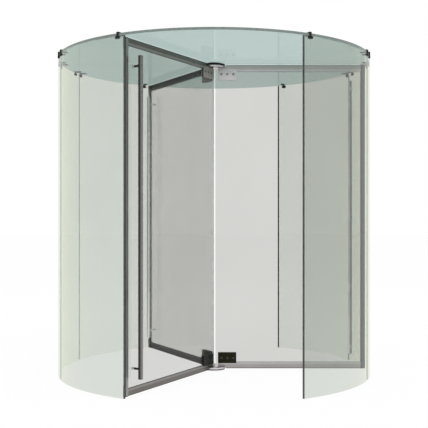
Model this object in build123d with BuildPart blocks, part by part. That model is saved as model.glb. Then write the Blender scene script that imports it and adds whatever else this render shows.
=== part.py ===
from build123d import *
from math import asin, cos, degrees, radians, sin
import os

os.makedirs("parts", exist_ok=True)

# All-glass three-wing revolving door. Millimetres, +Z up, floor at Z = 0, rotor axis on Z.
# The front opening faces -Y. Angles run counter-clockwise from +X.

# Drum: two curved glass side walls under a flat glass canopy
DRUM_R = 1100.0
WALL_T = 12.0
WALL_H = 2182.0
OPENING_HALF = 29.25
PANELS_PER_WALL = 3
PANEL_STEP = 40.0
GLASS_JOINT = 3.0
GLASS_ARRIS = 1.0
CANOPY_T = 16.0
JOINT_RECESS = 1.0
WALL_HALF_SPAN = 90.0 - OPENING_HALF
WALL_INNER_R = DRUM_R - WALL_T
CANOPY_TOP = WALL_H + CANOPY_T

# Clearances
RUN_CLEAR = 5.0
TIP_CLEAR = 5.5
PIN_CLEAR = 0.3
FACE_CLEAR = 0.3
POST_CLEAR = 0.5

# Outside clamps that tie the walls to the canopy: a narrow arm and neck, and a wide foot
CLAMP_W = 14.0
CLAMP_END_R = 5.0
CLAMP_T = 8.0
CLAMP_REACH = 44.0
CLAMP_BEND = 5.0
FOOT_W = 34.0
FOOT_H = 17.0
FOOT_DROP = 2.0
FOOT_CUT = 5.0
CLAMP_END_ANGLE = 2.5
CLAMP_PAIR_ANGLE = 2.1

# Bearings: canopy flange and floor plate carry the rotor's two pins
HUB_R = 80.0
FLANGE_T = 5.0
NECK_R = 38.0
NECK_CLEAR = 2.0
CAP_R = 56.0
CAP_T = 6.0
FLOOR_PLATE_T = 5.0
PIN_R = 15.0
PIN_ENGAGE = 9.0

# Rotor hub discs
HUB_TOP_H = 16.0
HUB_BOTTOM_H = 12.0
CENTRE_STUD_R = 7.0
CENTRE_STUD_H = 20.0
HUB_BOTTOM_Z = FLOOR_PLATE_T + RUN_CLEAR
HUB_BOTTOM_TOP = HUB_BOTTOM_Z + HUB_BOTTOM_H
HUB_TOP_TOP = WALL_H - FLANGE_T - RUN_CLEAR
HUB_TOP_Z = HUB_TOP_TOP - HUB_TOP_H

# Wings
WING_ANGLES = {"right": 0.0, "back": 120.0, "front": 240.0}
WING_T = 12.0
WING_TIP_R = WALL_INNER_R - TIP_CLEAR
WING_BOTTOM = RUN_CLEAR
WING_TOP = WALL_H - RUN_CLEAR
PANE_IN_R = 10.0
GLASS_SEAT = 14.0

# Rails along the bottom and the top of each wing, from the hub to the stile
RAIL_H = 41.0
RAIL_WIDE = 16.0
RAIL_NARROW = 12.0
RAIL_STEP = 18.0
RAIL_IN = 28.5
BRUSH_OUT = 5.0
TIP_BRUSH_OUT = 9.0
BRUSH_IN = 5.0
BRUSH_BASE_W = 8.0
BRUSH_W = 4.0
BRUSH_START = HUB_R + RUN_CLEAR

# Outer stile and its corner blocks
STILE_W = 23.5
CORNER_H = 68.0
CORNER_W = 14.0
STILE_IN = WING_TIP_R - TIP_BRUSH_OUT - STILE_W
STILE_OUT = STILE_IN + STILE_W

# Corner patches at the hub
PATCH_IN = 28.5
PATCH_OUT = 159.5
LOW_PATCH_REACH = 114.0
HIGH_PATCH_REACH = 105.0
PATCH_H = 76.0
PATCH_T = 5.0
PATCH_EDGE = 1.0

# Pull handles
HANDLE_R = 15.0
HANDLE_INSET = 98.5
HANDLE_OFFSET = 52.0
HANDLE_LOW = 101.0
HANDLE_DROP = 107.0
POST_INSET = 62.5
POST_R = 7.0
ROSE_R = 9.5
ROSE_T = 3.0
HANDLE_AT = WING_TIP_R - HANDLE_INSET
HANDLE_HIGH = WALL_H - HANDLE_DROP


def polar(radius, angle):
    """Point in plan at this radius and angle in degrees."""
    return (radius * cos(radians(angle)), radius * sin(radians(angle)))


def wing_plane(angle):
    """Upright plane through the axis: local X runs outward, local Y runs up."""
    a = radians(angle)
    return Plane(origin=(0, 0, 0), x_dir=(cos(a), sin(a), 0), z_dir=(sin(a), -cos(a), 0))


def cross_plane(angle, radius):
    """Upright plane across a wing: local X runs along the turn, local Y runs up."""
    a = radians(angle)
    origin = (radius * cos(a), radius * sin(a), 0)
    return Plane(origin=origin, x_dir=(-sin(a), cos(a), 0), z_dir=(cos(a), sin(a), 0))


def plan_plane(angle, height):
    """Level plane turned with a wing: local X runs outward."""
    a = radians(angle)
    return Plane(origin=(0, 0, height), x_dir=(cos(a), sin(a), 0), z_dir=(0, 0, 1))


def save(builder, label):
    """Name a finished sub-part and write its STEP file."""
    builder.part.label = label
    export_step(builder.part, f"parts/{label}.step")


def ring_sector(inner, outer, start, end):
    """Face between two arcs about the axis."""
    span = end - start
    with BuildSketch() as sector:
        with BuildLine():
            CenterArc((0, 0), outer, start, span)
            CenterArc((0, 0), inner, start, span)
            Line(polar(inner, start), polar(outer, start))
            Line(polar(inner, end), polar(outer, end))
        make_face()
    return sector.sketch


# ---------------------------------------------------------------- side walls
HALF_JOINT = degrees(asin(GLASS_JOINT / 2 / DRUM_R))
SIDES = {"right": 0.0, "left": 180.0}
PANEL_EDGES = [-WALL_HALF_SPAN, -PANEL_STEP / 2, PANEL_STEP / 2, WALL_HALF_SPAN]
PANEL_NAMES = {"right": ["front", "middle", "back"], "left": ["back", "middle", "front"]}

for side, middle in SIDES.items():
    for index in range(PANELS_PER_WALL):
        low = PANEL_EDGES[index] + (HALF_JOINT if index > 0 else 0)
        high = PANEL_EDGES[index + 1] - (HALF_JOINT if index < PANELS_PER_WALL - 1 else 0)
        panel_section = ring_sector(WALL_INNER_R, DRUM_R, middle + low, middle + high)
        with BuildPart() as wall_panel:
            with BuildSketch(Plane.XY):
                add(panel_section)
            extrude(amount=WALL_H)
            chamfer(wall_panel.edges().filter_by(Axis.Z), length=GLASS_ARRIS)
        save(wall_panel, f"wall_{side}_{PANEL_NAMES[side][index]}")

SEAL_IN_R = WALL_INNER_R + GLASS_ARRIS + JOINT_RECESS
SEAL_OUT_R = DRUM_R - GLASS_ARRIS - JOINT_RECESS
JOINT_ANGLES = [middle + edge for middle in SIDES.values() for edge in PANEL_EDGES[1:-1]]
JOINT_SECTIONS = [
    ring_sector(SEAL_IN_R, SEAL_OUT_R, angle - HALF_JOINT, angle + HALF_JOINT)
    for angle in JOINT_ANGLES
]

with BuildPart() as wall_joint_seals:
    with BuildSketch(Plane.XY):
        add(JOINT_SECTIONS)
    extrude(amount=WALL_H)
save(wall_joint_seals, "wall_joint_seals")

# ---------------------------------------------------------------- canopy
for name, turn in {"back": 0.0, "front": 180.0}.items():
    with BuildPart() as canopy:
        with BuildSketch(plan_plane(turn, WALL_H)):
            Circle(DRUM_R)
            Circle(NECK_R + NECK_CLEAR, mode=Mode.SUBTRACT)
            with Locations((0, GLASS_JOINT / 2)):
                Rectangle(
                    2 * DRUM_R, DRUM_R, align=(Align.CENTER, Align.MIN), mode=Mode.INTERSECT
                )
        extrude(amount=CANOPY_T)
        chamfer(canopy.faces().sort_by(Axis.Z)[-1].outer_wire().edges(), length=GLASS_ARRIS)
    save(canopy, f"canopy_{name}")

SEAM_IN = NECK_R + NECK_CLEAR + JOINT_RECESS
SEAM_OUT = DRUM_R - GLASS_ARRIS - JOINT_RECESS

with BuildPart() as canopy_seam_seal:
    with BuildSketch(Plane.XY.offset(WALL_H + JOINT_RECESS)):
        for sign in (-1, 1):
            with Locations((sign * (SEAM_IN + SEAM_OUT) / 2, 0)):
                Rectangle(SEAM_OUT - SEAM_IN, GLASS_JOINT)
    extrude(amount=CANOPY_T - 2 * JOINT_RECESS - GLASS_ARRIS)
save(canopy_seam_seal, "canopy_seam_seal")

# ---------------------------------------------------------------- clamps
LEG_IN = DRUM_R + FACE_CLEAR
LEG_OUT = LEG_IN + CLAMP_T
ARM_TOP = CANOPY_TOP + CLAMP_T
ARM_IN = DRUM_R - CLAMP_REACH
FOOT_TOP = WALL_H - FOOT_DROP
LEG_LOW = FOOT_TOP - FOOT_H / 2

with BuildPart() as clamp:
    with BuildSketch(wing_plane(0)):
        with BuildLine():
            Polyline(
                (ARM_IN, CANOPY_TOP),
                (LEG_IN, CANOPY_TOP),
                (LEG_IN, LEG_LOW),
                (LEG_OUT, LEG_LOW),
                (LEG_OUT, ARM_TOP),
                (ARM_IN, ARM_TOP),
                close=True,
            )
        make_face()
    extrude(amount=CLAMP_W / 2, both=True)
    bend = clamp.edges().filter_by(Axis.Y).sort_by(lambda e: e.center().X + e.center().Z)[-1]
    fillet(bend, radius=CLAMP_BEND)
    chamfer(clamp.faces().sort_by(Axis.X)[0].edges().filter_by(Axis.Z), length=CLAMP_END_R)
    with BuildSketch(cross_plane(0, LEG_IN)):
        with Locations((0, FOOT_TOP - FOOT_H / 2)):
            foot = Rectangle(FOOT_W, FOOT_H)
        chamfer(foot.vertices(), length=FOOT_CUT)
    extrude(amount=CLAMP_T)

END_ANGLES = [s * (WALL_HALF_SPAN - CLAMP_END_ANGLE) for s in (-1, 1)]
PAIR_CENTRES = [-PANEL_STEP / 2, 0.0, PANEL_STEP / 2]
PAIR_ANGLES = [c + s * CLAMP_PAIR_ANGLE for c in PAIR_CENTRES for s in (-1, 1)]

for side, middle in SIDES.items():
    for group, angles in {"end": END_ANGLES, "joint": PAIR_ANGLES}.items():
        with BuildPart() as clamp_group:
            with Locations(*[Location((0, 0, 0), (0, 0, middle + a)) for a in angles]):
                add(clamp.part)
        save(clamp_group, f"{group}_clamps_{side}")

# ---------------------------------------------------------------- bearings
with BuildPart() as canopy_bearing:
    with BuildSketch(Plane.XY.offset(WALL_H - FLANGE_T)):
        Circle(HUB_R)
    extrude(amount=FLANGE_T)
    with BuildSketch(Plane.XY.offset(WALL_H)):
        Circle(NECK_R)
    extrude(amount=CANOPY_T)
    with BuildSketch(Plane.XY.offset(CANOPY_TOP)):
        Circle(CAP_R)
    extrude(amount=CAP_T)
    with BuildSketch(Plane.XY.offset(WALL_H - FLANGE_T)):
        Circle(PIN_R)
    extrude(amount=-(RUN_CLEAR + PIN_ENGAGE))
save(canopy_bearing, "canopy_bearing")

with BuildPart() as floor_bearing:
    with BuildSketch(Plane.XY):
        Circle(HUB_R)
    extrude(amount=FLOOR_PLATE_T)
    with BuildSketch(Plane.XY.offset(FLOOR_PLATE_T)):
        Circle(PIN_R)
    extrude(amount=RUN_CLEAR + PIN_ENGAGE)
save(floor_bearing, "floor_bearing")

# ---------------------------------------------------------------- rotor hub
with BuildPart() as hub_bottom:
    with BuildSketch(Plane.XY.offset(HUB_BOTTOM_Z)):
        Circle(HUB_R)
    extrude(amount=HUB_BOTTOM_H)
    with BuildSketch(Plane.XY.offset(HUB_BOTTOM_Z)):
        Circle(PIN_R + PIN_CLEAR)
    extrude(amount=PIN_ENGAGE + PIN_CLEAR, mode=Mode.SUBTRACT)
    with BuildSketch(Plane.XY.offset(HUB_BOTTOM_TOP)):
        Circle(CENTRE_STUD_R)
    extrude(amount=CENTRE_STUD_H)
save(hub_bottom, "hub_bottom_disc")

with BuildPart() as hub_top:
    with BuildSketch(Plane.XY.offset(HUB_TOP_Z)):
        Circle(HUB_R)
    extrude(amount=HUB_TOP_H)
    with BuildSketch(Plane.XY.offset(HUB_TOP_TOP)):
        Circle(PIN_R + PIN_CLEAR)
    extrude(amount=-(PIN_ENGAGE + PIN_CLEAR), mode=Mode.SUBTRACT)
save(hub_top, "hub_top_disc")

# ---------------------------------------------------------------- wings
RAIL_LOW = WING_BOTTOM + BRUSH_OUT
RAIL_HIGH = WING_TOP - BRUSH_OUT
PANE_LOW = RAIL_LOW + RAIL_H - GLASS_SEAT
PANE_HIGH = RAIL_HIGH - RAIL_H + GLASS_SEAT
PANE_OUT = STILE_IN + GLASS_SEAT
PATCH_LOW_TIP = WING_BOTTOM + LOW_PATCH_REACH
PATCH_HIGH_TIP = WING_TOP - HIGH_PATCH_REACH
LOW_POST_Z = HANDLE_LOW + POST_INSET
HIGH_POST_Z = HANDLE_HIGH - POST_INSET


def rail_section(edge, up):
    """Rail section from its brush edge towards the glass, in the given direction."""
    glass_edge = edge + up * RAIL_H
    step = edge + up * RAIL_STEP
    seat = glass_edge - up * GLASS_SEAT
    groove = edge + up * BRUSH_IN
    with BuildSketch() as section:
        with BuildLine():
            Polyline(
                (BRUSH_BASE_W / 2, edge),
                (RAIL_NARROW / 2, edge),
                (RAIL_NARROW / 2, step),
                (RAIL_WIDE / 2, step),
                (RAIL_WIDE / 2, glass_edge),
                (WING_T / 2, glass_edge),
                (WING_T / 2, seat),
                (-WING_T / 2, seat),
                (-WING_T / 2, glass_edge),
                (-RAIL_WIDE / 2, glass_edge),
                (-RAIL_WIDE / 2, step),
                (-RAIL_NARROW / 2, step),
                (-RAIL_NARROW / 2, edge),
                (-BRUSH_BASE_W / 2, edge),
                (-BRUSH_BASE_W / 2, groove),
                (BRUSH_BASE_W / 2, groove),
                close=True,
            )
        make_face()
    return section.sketch


def brush_section(edge, up):
    """Brush strip section: a base that fills the rail's groove and bristles out of it."""
    with BuildSketch() as section:
        with BuildLine():
            Polyline(
                (-BRUSH_BASE_W / 2, edge),
                (-BRUSH_BASE_W / 2, edge + up * BRUSH_IN),
                (BRUSH_BASE_W / 2, edge + up * BRUSH_IN),
                (BRUSH_BASE_W / 2, edge),
                (BRUSH_W / 2, edge),
                (BRUSH_W / 2, edge - up * BRUSH_OUT),
                (-BRUSH_W / 2, edge - up * BRUSH_OUT),
                (-BRUSH_W / 2, edge),
                close=True,
            )
        make_face()
    return section.sketch


def build_rail(angle, section, seat, rim, label):
    """Build one rail: it runs from the hub to the stile and is stepped over the hub disc."""
    with BuildPart() as rail:
        with BuildSketch(cross_plane(angle, RAIL_IN)):
            add(section)
        extrude(amount=STILE_IN - RAIL_IN)
        with BuildSketch(wing_plane(angle)):
            with Locations(((RAIL_IN + HUB_R + FACE_CLEAR) / 2, (seat + rim) / 2)):
                Rectangle(HUB_R + FACE_CLEAR - RAIL_IN, abs(seat - rim))
        extrude(amount=RAIL_WIDE, both=True, mode=Mode.SUBTRACT)
    save(rail, label)


def build_patch(angle, tip, up, glass_edge, label):
    """Build one patch: two cheeks on the glass with lips that lap over the rail."""
    root = tip - up * PATCH_H
    with BuildPart() as patch:
        with BuildSketch(wing_plane(angle)):
            with Locations(((PATCH_IN + PATCH_OUT) / 2, (tip + root) / 2)):
                Rectangle(PATCH_OUT - PATCH_IN, PATCH_H)
        extrude(amount=WING_T / 2 + PATCH_T, both=True)
        chamfer(patch.edges().filter_by(Axis.Z), length=PATCH_EDGE)
        with BuildSketch(wing_plane(angle)):
            with Locations(((PATCH_IN + PATCH_OUT) / 2, (tip + root) / 2)):
                Rectangle(PATCH_OUT, 2 * PATCH_H)
        extrude(amount=WING_T / 2, both=True, mode=Mode.SUBTRACT)
        with BuildSketch(wing_plane(angle)):
            with Locations(((PATCH_IN + PATCH_OUT) / 2, (glass_edge + root) / 2)):
                Rectangle(PATCH_OUT, abs(glass_edge - root))
        extrude(amount=RAIL_WIDE / 2, both=True, mode=Mode.SUBTRACT)
    save(patch, label)


RAIL_EDGES = {"bottom": (RAIL_LOW, 1), "top": (RAIL_HIGH, -1)}
RAIL_SECTIONS = {level: rail_section(*sizes) for level, sizes in RAIL_EDGES.items()}
BRUSH_SECTIONS = {level: brush_section(*sizes) for level, sizes in RAIL_EDGES.items()}
RAIL_SEATS = {"bottom": (HUB_BOTTOM_TOP, RAIL_LOW), "top": (HUB_TOP_Z, RAIL_HIGH)}
PATCHES = {
    "bottom": (PATCH_LOW_TIP, 1, RAIL_LOW + RAIL_H),
    "top": (PATCH_HIGH_TIP, -1, RAIL_HIGH - RAIL_H),
}

for wing, angle in WING_ANGLES.items():
    with BuildPart() as pane:
        with BuildSketch(wing_plane(angle)):
            with Locations(((PANE_IN_R + PANE_OUT) / 2, (PANE_LOW + PANE_HIGH) / 2)):
                Rectangle(PANE_OUT - PANE_IN_R, PANE_HIGH - PANE_LOW)
            with Locations(*[(HANDLE_AT, z) for z in (LOW_POST_Z, HIGH_POST_Z)]):
                Circle(POST_R + POST_CLEAR, mode=Mode.SUBTRACT)
        extrude(amount=WING_T / 2, both=True)
    save(pane, f"wing_{wing}_glass")

    for level, section in RAIL_SECTIONS.items():
        build_rail(angle, section, *RAIL_SEATS[level], f"wing_{wing}_{level}_rail")

    with BuildPart() as stile:
        with BuildSketch(plan_plane(angle, RAIL_LOW)):
            with BuildLine():
                Polyline(
                    (STILE_IN, WING_T / 2),
                    (STILE_IN, RAIL_WIDE / 2),
                    (STILE_OUT, RAIL_WIDE / 2),
                    (STILE_OUT, BRUSH_BASE_W / 2),
                    (STILE_OUT - BRUSH_IN, BRUSH_BASE_W / 2),
                    (STILE_OUT - BRUSH_IN, -BRUSH_BASE_W / 2),
                    (STILE_OUT, -BRUSH_BASE_W / 2),
                    (STILE_OUT, -RAIL_WIDE / 2),
                    (STILE_IN, -RAIL_WIDE / 2),
                    (STILE_IN, -WING_T / 2),
                    (PANE_OUT, -WING_T / 2),
                    (PANE_OUT, WING_T / 2),
                    close=True,
                )
            make_face()
        extrude(amount=RAIL_HIGH - RAIL_LOW)
    save(stile, f"wing_{wing}_stile")

    with BuildPart() as corners:
        for edge, up in ((WING_BOTTOM, 1), (WING_TOP, -1)):
            with BuildSketch(wing_plane(angle)):
                with BuildLine():
                    Polyline(
                        (STILE_IN, edge),
                        (WING_TIP_R, edge),
                        (WING_TIP_R, edge + up * CORNER_H),
                        (STILE_OUT, edge + up * CORNER_H),
                        (STILE_OUT, edge + up * BRUSH_OUT),
                        (STILE_IN, edge + up * BRUSH_OUT),
                        close=True,
                    )
                make_face()
            extrude(amount=CORNER_W / 2, both=True)
    save(corners, f"wing_{wing}_corner_blocks")

    with BuildPart() as seals:
        for section in BRUSH_SECTIONS.values():
            with BuildSketch(cross_plane(angle, BRUSH_START)):
                add(section)
            extrude(amount=STILE_IN - BRUSH_START)
        with BuildSketch(plan_plane(angle, WING_BOTTOM + CORNER_H)):
            with Locations((STILE_OUT - BRUSH_IN, 0)):
                Rectangle(BRUSH_IN, BRUSH_BASE_W, align=(Align.MIN, Align.CENTER))
                Rectangle(BRUSH_IN + TIP_BRUSH_OUT, BRUSH_W, align=(Align.MIN, Align.CENTER))
        extrude(amount=WING_TOP - WING_BOTTOM - 2 * CORNER_H)
    save(seals, f"wing_{wing}_brush_seals")

    for level, sizes in PATCHES.items():
        build_patch(angle, *sizes, f"wing_{wing}_{level}_patch")

    with BuildPart() as handle:
        with BuildSketch(plan_plane(angle, HANDLE_LOW)):
            with Locations((HANDLE_AT, HANDLE_OFFSET)):
                Circle(HANDLE_R)
        extrude(amount=HANDLE_HIGH - HANDLE_LOW)
        with BuildSketch(wing_plane(angle).offset(-HANDLE_OFFSET)):
            with Locations(*[(HANDLE_AT, z) for z in (LOW_POST_Z, HIGH_POST_Z)]):
                Circle(POST_R)
        extrude(amount=HANDLE_OFFSET + WING_T / 2)
        with BuildSketch(wing_plane(angle).offset(WING_T / 2)):
            with Locations(*[(HANDLE_AT, z) for z in (LOW_POST_Z, HIGH_POST_Z)]):
                Circle(ROSE_R)
        extrude(amount=ROSE_T)
    save(handle, f"wing_{wing}_pull_handle")
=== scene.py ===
"""Dressed model of an all-glass revolving door with three wings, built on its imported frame."""

import logging
import math
from dataclasses import dataclass, field
from enum import Enum
from typing import Iterable, Sequence

import bmesh
import bpy
from mathutils import Matrix, Vector


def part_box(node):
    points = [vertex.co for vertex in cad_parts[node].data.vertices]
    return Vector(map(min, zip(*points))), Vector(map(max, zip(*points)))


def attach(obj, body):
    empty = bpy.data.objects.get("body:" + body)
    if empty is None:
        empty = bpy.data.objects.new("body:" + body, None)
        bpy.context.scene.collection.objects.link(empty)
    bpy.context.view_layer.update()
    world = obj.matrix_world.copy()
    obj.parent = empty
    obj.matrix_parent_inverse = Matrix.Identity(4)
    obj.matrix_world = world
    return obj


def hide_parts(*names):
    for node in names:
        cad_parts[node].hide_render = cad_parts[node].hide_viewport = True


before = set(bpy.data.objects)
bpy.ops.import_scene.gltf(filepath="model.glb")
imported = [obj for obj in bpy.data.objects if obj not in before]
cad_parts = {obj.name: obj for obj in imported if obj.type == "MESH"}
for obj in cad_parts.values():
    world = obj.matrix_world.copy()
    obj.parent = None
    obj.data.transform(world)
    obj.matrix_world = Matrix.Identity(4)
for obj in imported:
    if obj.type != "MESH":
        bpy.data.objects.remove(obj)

LOG = logging.getLogger("revolving_door")
FULL_TURN = 2.0 * math.pi
QUARTER_TURN = math.pi / 2.0
AXIS = Vector((0.0, 0.0, 1.0))
ORIGIN = Vector((0.0, 0.0, 0.0))

# Where a noise's values mostly lie.
NOISE_LOW, NOISE_HIGH = 0.3, 0.7

# Least angles in radians at which an edge counts as a corner.
CORNER, SQUARE_CORNER = 0.6, 0.9

# How close in metres two measures are that count as one.
NEAR = 1e-6

Colour = tuple[float, float, float]
Point2 = tuple[float, float]


# ---------------------------------------------------------------- choices


class Body(Enum):
    """The two rigid bodies that every piece rides on."""

    DRUM = "drum"
    ROTOR = "rotor"


class Wing(Enum):
    """The three wings, each with its angle in degrees, counter-clockwise from +X."""

    RIGHT = ("right", 0.0)
    BACK = ("back", 120.0)
    FRONT = ("front", 240.0)

    @property
    def word(self) -> str:
        """The wing's word in node names."""
        return self.value[0]

    @property
    def angle(self) -> float:
        """The wing's angle in radians."""
        return math.radians(self.value[1])


class Side(Enum):
    """The two side walls, each with the angle of its middle in degrees."""

    RIGHT = ("right", 0.0)
    LEFT = ("left", 180.0)

    @property
    def word(self) -> str:
        """The side's word in node names."""
        return self.value[0]

    @property
    def middle(self) -> float:
        """The angle of the wall's middle in radians."""
        return math.radians(self.value[1])


class Tier(Enum):
    """A wing's two patches: their word in finishes and in nodes, and the way to their tip."""

    LOW = ("low", "bottom", 1.0)
    HIGH = ("high", "top", -1.0)

    @property
    def word(self) -> str:
        """The tier's word in the names of finishes."""
        return self.value[0]

    @property
    def place(self) -> str:
        """The tier's word in node names."""
        return self.value[1]

    @property
    def up(self) -> float:
        """1 where the tip lies above the rail, and -1 where it lies below."""
        return self.value[2]


class GlassForm(Enum):
    """How a pane's two broad faces lie."""

    CURVED = "curved about the drum's axis"
    UPRIGHT = "upright and flat"
    LEVEL = "level and flat"


class Grain(Enum):
    """The way a metal surface was brushed."""

    ALONG_WING = "level, along a wing"
    UPRIGHT = "up and down"
    ROUND = "turned about the drum's axis"
    ROUND_TUBE = "polished round an upright tube"


# How many times finer a brushed grain is along, across and up a wing.
GRAIN_STRETCH = {
    Grain.ALONG_WING: (1.5, 60.0, 60.0),
    Grain.UPRIGHT: (60.0, 60.0, 1.2),
    Grain.ROUND_TUBE: (4.0, 4.0, 90.0),
}


# ---------------------------------------------------------------- shading


class NodeGraph:
    """A material's node tree, with short calls for the nodes that the finishes share."""

    def __init__(self, name: str) -> None:
        """Start an empty material.

        Args:
            name: The material's name.
        """
        self.material = bpy.data.materials.new(name)
        self.material.use_nodes = True
        self.tree = self.material.node_tree
        self.tree.nodes.clear()
        self.output = self.tree.nodes.new("ShaderNodeOutputMaterial")
        self.coords = self.tree.nodes.new("ShaderNodeTexCoord")

    @property
    def place(self) -> bpy.types.NodeSocket:
        """Object coordinates, in metres in the door's frame."""
        return self.coords.outputs["Object"]

    @property
    def normal(self) -> bpy.types.NodeSocket:
        """The surface's own direction in the door's frame."""
        return self.coords.outputs["Normal"]

    @property
    def from_axis(self) -> bpy.types.NodeSocket:
        """The place's level part, which points away from the drum's axis."""
        return self.vector("MULTIPLY", self.place, (1.0, 1.0, 0.0)).outputs[0]

    def upward(self, source: bpy.types.NodeSocket) -> bpy.types.NodeSocket:
        """The upright part of a vector."""
        parts = self.add("ShaderNodeSeparateXYZ")
        self.feed(parts.inputs[0], source)
        return parts.outputs[2]

    def add(self, kind: str, **settings: object) -> bpy.types.Node:
        """Make a node and set its properties.

        Args:
            kind: The node's type.
            **settings: Property names and values.

        Returns:
            The new node.
        """
        node = self.tree.nodes.new(kind)
        for key, value in settings.items():
            setattr(node, key, value)
        return node

    def feed(self, socket: bpy.types.NodeSocket, source: object) -> None:
        """Link a socket, or set its constant.

        Args:
            socket: The input to fill.
            source: An output socket, a number or a colour.
        """
        if isinstance(source, bpy.types.NodeSocket):
            self.tree.links.new(source, socket)
        elif isinstance(source, tuple) and len(source) == 3 and socket.type == "RGBA":
            socket.default_value = (*source, 1.0)
        else:
            socket.default_value = source

    def math(self, operation: str, *values: object) -> bpy.types.NodeSocket:
        """Add a Math node.

        Args:
            operation: The operation's name.
            *values: Its inputs, sockets or numbers.

        Returns:
            The result's socket.
        """
        node = self.add("ShaderNodeMath", operation=operation)
        for socket, value in zip(node.inputs, values):
            self.feed(socket, value)
        return node.outputs[0]

    def vector(self, operation: str, *values: object) -> bpy.types.Node:
        """Add a Vector Math node and return it.

        Args:
            operation: The operation's name.
            *values: Its inputs, sockets or vectors.

        Returns:
            The node.
        """
        node = self.add("ShaderNodeVectorMath", operation=operation)
        for socket, value in zip(node.inputs, values):
            self.feed(socket, value)
        return node

    def turned_place(self, angle: float, stretch: Sequence[float]) -> bpy.types.NodeSocket:
        """Object coordinates turned back by a wing's angle and stretched.

        Args:
            angle: The wing's angle in radians.
            stretch: How many times finer the pattern is along X, Y and Z.

        Returns:
            The coordinates' socket.
        """
        turn = self.add("ShaderNodeMapping", vector_type="POINT")
        self.feed(turn.inputs["Vector"], self.place)
        turn.inputs["Rotation"].default_value = (0.0, 0.0, -angle)
        stretched = self.add("ShaderNodeMapping", vector_type="POINT")
        self.feed(stretched.inputs["Vector"], turn.outputs[0])
        stretched.inputs["Scale"].default_value = tuple(stretch)
        return stretched.outputs[0]

    def noise(
        self, place: bpy.types.NodeSocket, scale: float, detail: float, rough: float = 0.5
    ) -> bpy.types.NodeSocket:
        """Add a Noise Texture.

        Args:
            place: Its coordinates.
            scale: Its scale.
            detail: Its detail.
            rough: Its roughness.

        Returns:
            The noise value's socket.
        """
        node = self.add("ShaderNodeTexNoise")
        self.feed(node.inputs["Vector"], place)
        node.inputs["Scale"].default_value = scale
        node.inputs["Detail"].default_value = detail
        node.inputs["Roughness"].default_value = rough
        return node.outputs["Fac"]

    def span(
        self, value: bpy.types.NodeSocket, low: float, high: float, to_low: float, to_high: float
    ) -> bpy.types.NodeSocket:
        """Map a value from one range to another, held at its ends.

        Args:
            value: The value's socket.
            low: Where the first range starts.
            high: Where it ends.
            to_low: What low becomes.
            to_high: What high becomes.

        Returns:
            The mapped value's socket.
        """
        node = self.add("ShaderNodeMapRange", clamp=True)
        for socket, number in zip(node.inputs, (value, low, high, to_low, to_high)):
            self.feed(socket, number)
        return node.outputs[0]

    def swing(
        self, noise: bpy.types.NodeSocket, to_low: float, to_high: float
    ) -> bpy.types.NodeSocket:
        """Map a noise's usual values to a range.

        Args:
            noise: The noise value's socket.
            to_low: What its low values become.
            to_high: What its high values become.

        Returns:
            The mapped value's socket.
        """
        return self.span(noise, NOISE_LOW, NOISE_HIGH, to_low, to_high)

    def blend(self, share: object, first: object, second: object) -> bpy.types.NodeSocket:
        """Mix two colours.

        Args:
            share: How much of the second, from 0 to 1.
            first: The first colour.
            second: The second colour.

        Returns:
            The mixed colour's socket.
        """
        node = self.add("ShaderNodeMix", data_type="RGBA")
        self.feed(node.inputs["Factor"], share)
        self.feed(node.inputs["A"], first)
        self.feed(node.inputs["B"], second)
        return node.outputs["Result"]

    def bump(self, height: bpy.types.NodeSocket, strength: float, distance: float) -> object:
        """Turn a height into a bent normal.

        Args:
            height: The height's socket.
            strength: The bump's strength.
            distance: The height of a full step, in metres.

        Returns:
            The normal's socket.
        """
        node = self.add("ShaderNodeBump")
        node.inputs["Strength"].default_value = strength
        node.inputs["Distance"].default_value = distance
        self.feed(node.inputs["Height"], height)
        return node.outputs[0]

    def mix_shaders(self, share: object, first: object, second: object) -> object:
        """Mix two shaders.

        Args:
            share: How much of the second, from 0 to 1.
            first: The first shader's socket.
            second: The second shader's socket.

        Returns:
            The mixed shader's socket.
        """
        node = self.add("ShaderNodeMixShader")
        self.feed(node.inputs[0], share)
        self.feed(node.inputs[1], first)
        self.feed(node.inputs[2], second)
        return node.outputs[0]

    def finish(self, shader: object) -> bpy.types.Material:
        """Link the surface and return the material.

        Args:
            shader: The surface's shader socket.

        Returns:
            The finished material.
        """
        self.feed(self.output.inputs["Surface"], shader)
        return self.material


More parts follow.
